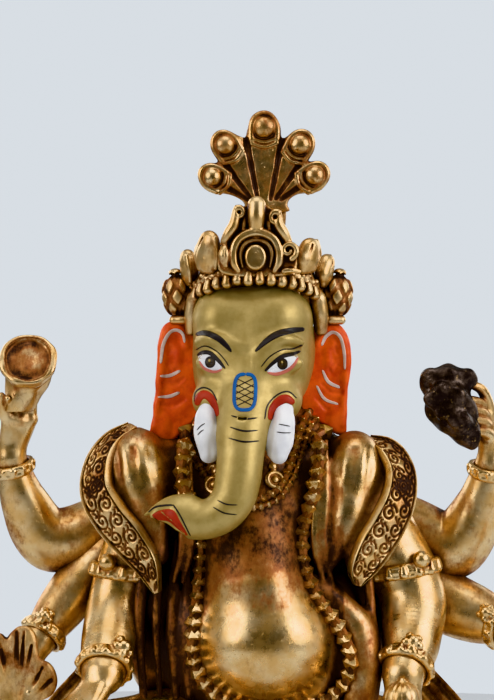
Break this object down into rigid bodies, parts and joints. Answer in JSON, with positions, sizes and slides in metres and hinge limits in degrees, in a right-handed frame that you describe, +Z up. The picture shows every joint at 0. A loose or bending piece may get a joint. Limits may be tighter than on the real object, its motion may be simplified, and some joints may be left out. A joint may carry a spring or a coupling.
{
  "type": "ganesha idol",
  "caption": "Gilt metal elephant-headed deity with many arms, seated on a lotus base, with a painted face and a cobra hood above the crown.",
  "frame": {"origin": "middle of the base plate's flat underside, at the centre of the object's footprint", "axes": "+Z up; the idol faces -Y; +X is the idol's own left, the right-hand side of the picture"},
  "size_m": [0.159, 0.0986, 0.2246],
  "materials": {
    "gilt_metal": "gilt over copper, hand polished, red-brown patina left in the recesses",
    "copper": "plain beaten copper, dull",
    "dark_metal": "oxidised nearly black, edges rubbed bright",
    "gold_paint": "matte cold gold paint with fine painted features",
    "orange_paint": "matte orange-red paint",
    "white_paint": "matte white paint"
  },
  "bodies": {
    "root": {"lotus_base": "gilt_metal", "legs": "gilt_metal", "torso": "gilt_metal", "arm_front_right": "gilt_metal", "arm_front_left": "gilt_metal", "arm_upper_right": "gilt_metal", "arm_upper_left": "gilt_metal", "arm_middle_right": "gilt_metal", "arm_middle_left": "gilt_metal", "shoulder_band_right": "gilt_metal", "shoulder_band_left": "gilt_metal", "scarf_right": "gilt_metal", "scarf_left": "gilt_metal", "armlet_right": "gilt_metal", "armlet_left": "gilt_metal", "bracelet_front_right": "gilt_metal", "bracelet_front_left": "gilt_metal", "bracelet_upper_right": "gilt_metal", "bracelet_upper_left": "gilt_metal", "bracelet_middle_right": "gilt_metal", "bracelet_middle_left": "gilt_metal", "belly_garland": "gilt_metal", "bead_collar": "gilt_metal", "pendant_right": "gilt_metal", "pendant_left": "gilt_metal", "anklet_right": "gilt_metal", "anklet_left": "gilt_metal", "offering_bowl": "gilt_metal", "radish": "gilt_metal", "elephant_goad": "gilt_metal", "sweet_ball": "gilt_metal", "crown_cap": "gilt_metal", "crown_band": "gilt_metal", "crown_medallion": "gilt_metal", "crown_rosette_right": "gilt_metal", "crown_rosette_left": "gilt_metal", "crown_leaf_front_right": "gilt_metal", "crown_leaf_front_left": "gilt_metal", "crown_leaf_side_right": "gilt_metal", "crown_leaf_side_left": "gilt_metal", "crown_leaf_back_right": "gilt_metal", "crown_leaf_back_left": "gilt_metal", "naga_hood": "gilt_metal", "naga_stem": "gilt_metal", "base_plate": "copper", "arm_rivet_upper_right": "copper", "arm_rivet_upper_left": "copper", "arm_rivet_middle_right": "copper", "arm_rivet_middle_left": "copper", "conch_shell": "dark_metal", "head": "gold_paint", "ear_right": "orange_paint", "ear_left": "orange_paint", "tusk_right": "white_paint", "tusk_left": "white_paint"}
  },
  "joints": []
}
